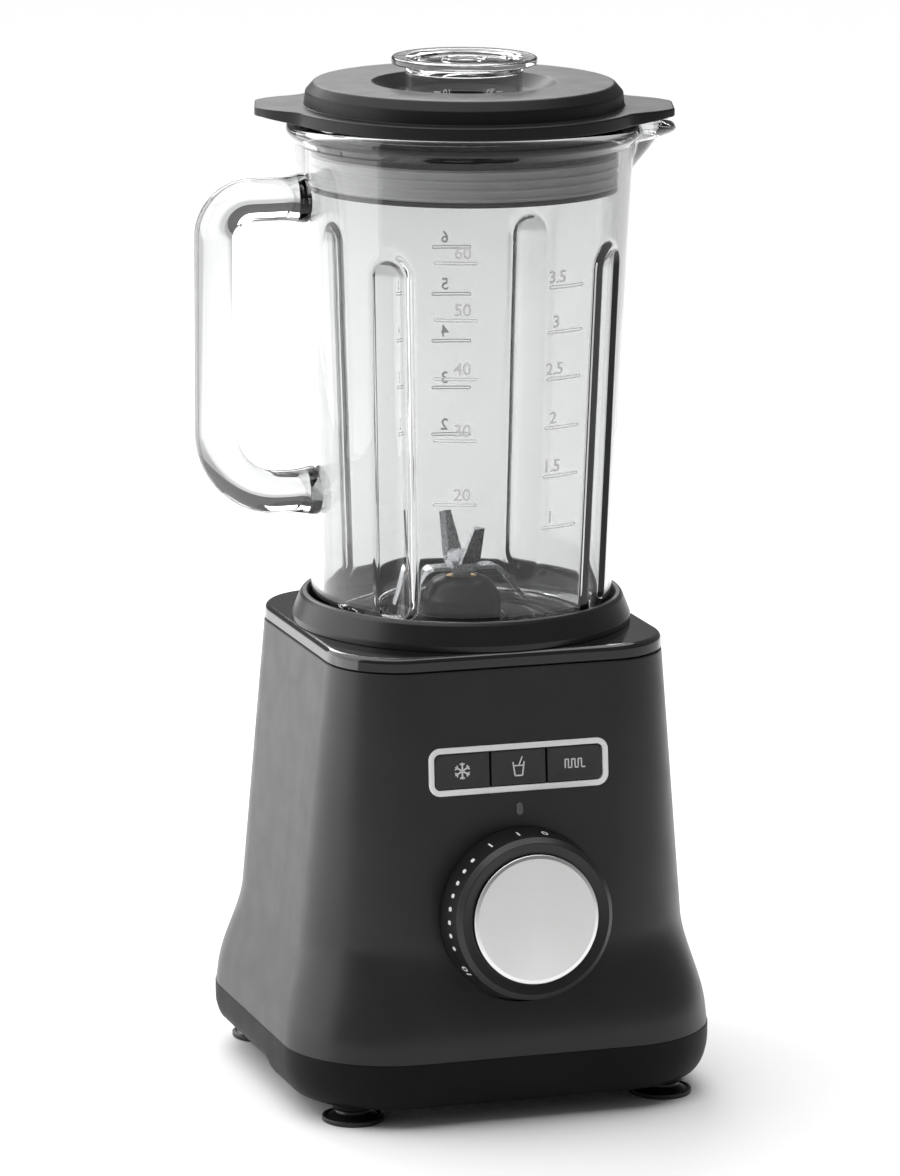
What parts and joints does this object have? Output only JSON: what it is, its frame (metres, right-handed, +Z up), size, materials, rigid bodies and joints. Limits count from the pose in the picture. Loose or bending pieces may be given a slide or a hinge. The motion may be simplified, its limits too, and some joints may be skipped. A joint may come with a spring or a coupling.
{
  "type": "countertop blender",
  "caption": "Free-standing blender: flared motor base with a rotary dial and push buttons, lift-off glass jug with handle and spout, blade unit, tabbed lid and measuring cap.",
  "frame": {"origin": "bottom centre of the whole blender's bounding box, on the surface that the four feet stand on; the drive axis is 12 mm to +X and 4.5 mm to +Y of it", "axes": "+Z up along the drive axis; the controls face -Y; the jug's handle points to -X and its spout to +X"},
  "size_m": [0.2091, 0.1989, 0.4336],
  "materials": {
    "housing_plastic": "fine satin moulded texture",
    "cover_gloss": "polished piano black",
    "ring_plastic": "satin moulded black",
    "base_plastic": "matte moulded black",
    "rubber": "matte",
    "frame_plastic": "satin white",
    "mark_plastic": "gloss",
    "button_plastic": "satin moulded",
    "knob_plastic": "satin moulded",
    "dial_metal": "circular spun",
    "steel": "machined",
    "blade_steel": "brushed stainless steel",
    "lamination": "stacked laminations",
    "copper": "enamelled copper wire",
    "bronze": "sintered bronze",
    "zinc": "die-cast",
    "circuit_board": "solder mask",
    "switch_plastic": "moulded",
    "carbon": "pressed graphite",
    "fan_plastic": "moulded nylon",
    "coupling_plastic": "moulded nylon",
    "glass": "clear pressed glass",
    "lid_plastic": "satin moulded black",
    "silicone": "translucent silicone",
    "seal_rubber": "soft seal",
    "cap_clear": "clear moulded plastic"
  },
  "bodies": {
    "base": {"housing": "housing_plastic", "top_cover": "cover_gloss", "seat_ring": "ring_plastic", "bottom_cover": "base_plastic", "foot_front_left": "rubber", "foot_front_right": "rubber", "foot_back_left": "rubber", "foot_back_right": "rubber", "housing_screws": "steel", "cord_gland": "rubber", "button_frame": "frame_plastic", "indicator_mark": "mark_plastic", "control_board": "circuit_board", "tact_switches": "switch_plastic", "rotary_switch": "switch_plastic", "stator": "lamination", "field_coils": "copper", "motor_bracket_top": "zinc", "motor_bracket_bottom": "zinc", "motor_bearing_top": "steel", "motor_bearing_bottom": "steel", "brush_holders": "bronze", "carbon_brushes": "carbon", "motor_dampers": "rubber", "motor_bolts": "steel"},
    "rotor": {"motor_shaft": "steel", "armature": "lamination", "commutator": "copper", "cooling_fan": "fan_plastic", "drive_coupling": "coupling_plastic"},
    "jug": {"glass_jug": "glass", "blade_base": "ring_plastic", "blade_gasket": "seal_rubber", "jug_nut": "ring_plastic", "blade_bush": "bronze"},
    "blades": {"blade_shaft": "steel", "lower_blade": "blade_steel", "blade_spacer": "blade_steel", "upper_blade": "blade_steel", "blade_nut": "blade_steel", "driven_coupling": "zinc"},
    "lid": {"lid": "lid_plastic", "lid_sleeve": "silicone", "lid_seal_ring": "seal_rubber"},
    "cap": {"measuring_cap": "cap_clear"},
    "dial": {"dial_knob": "knob_plastic", "dial_face": "dial_metal", "dial_shaft": "steel"},
    "button_left": {"button_left": "button_plastic"},
    "button_middle": {"button_middle": "button_plastic"},
    "button_right": {"button_right": "button_plastic"}
  },
  "joints": [
    {"name": "motor_spin", "type": "hinge", "parent": "base", "child": "rotor", "pos_m": [0.012, 0.0045, 0.112], "axis": [0, 0, 1], "continuous": true},
    {"name": "jug_lift", "type": "slide", "parent": "base", "child": "jug", "axis": [0, 0, 1], "range_m": [0, 0.06]},
    {"name": "blade_spin", "type": "hinge", "parent": "jug", "child": "blades", "pos_m": [0.012, 0.0045, 0.218], "axis": [0, 0, 1], "continuous": true},
    {"name": "lid_lift", "type": "slide", "parent": "jug", "child": "lid", "axis": [0, 0, 1], "range_m": [0, 0.045]},
    {"name": "cap_lift", "type": "slide", "parent": "lid", "child": "cap", "axis": [0, 0, 1], "range_m": [0, 0.04]},
    {"name": "dial_turn", "type": "hinge", "parent": "base", "child": "dial", "pos_m": [0.012, -0.07748, 0.0876], "axis": [0, -0.9958, 0.0916], "range_deg": [-125, 12]},
    {"name": "button_left_press", "type": "slide", "parent": "base", "child": "button_left", "axis": [0, 0.9958, -0.0916], "range_m": [0, 0.0012], "stiffness_N_per_m": 900, "springref_m": -0.0004},
    {"name": "button_middle_press", "type": "slide", "parent": "base", "child": "button_middle", "axis": [0, 0.9958, -0.0916], "range_m": [0, 0.0012], "stiffness_N_per_m": 900, "springref_m": -0.0004},
    {"name": "button_right_press", "type": "slide", "parent": "base", "child": "button_right", "axis": [0, 0.9958, -0.0916], "range_m": [0, 0.0012], "stiffness_N_per_m": 900, "springref_m": -0.0004}
  ],
  "couplings": [
    {"joint": "blade_spin", "follows": "motor_spin", "ratio": 1}
  ]
}
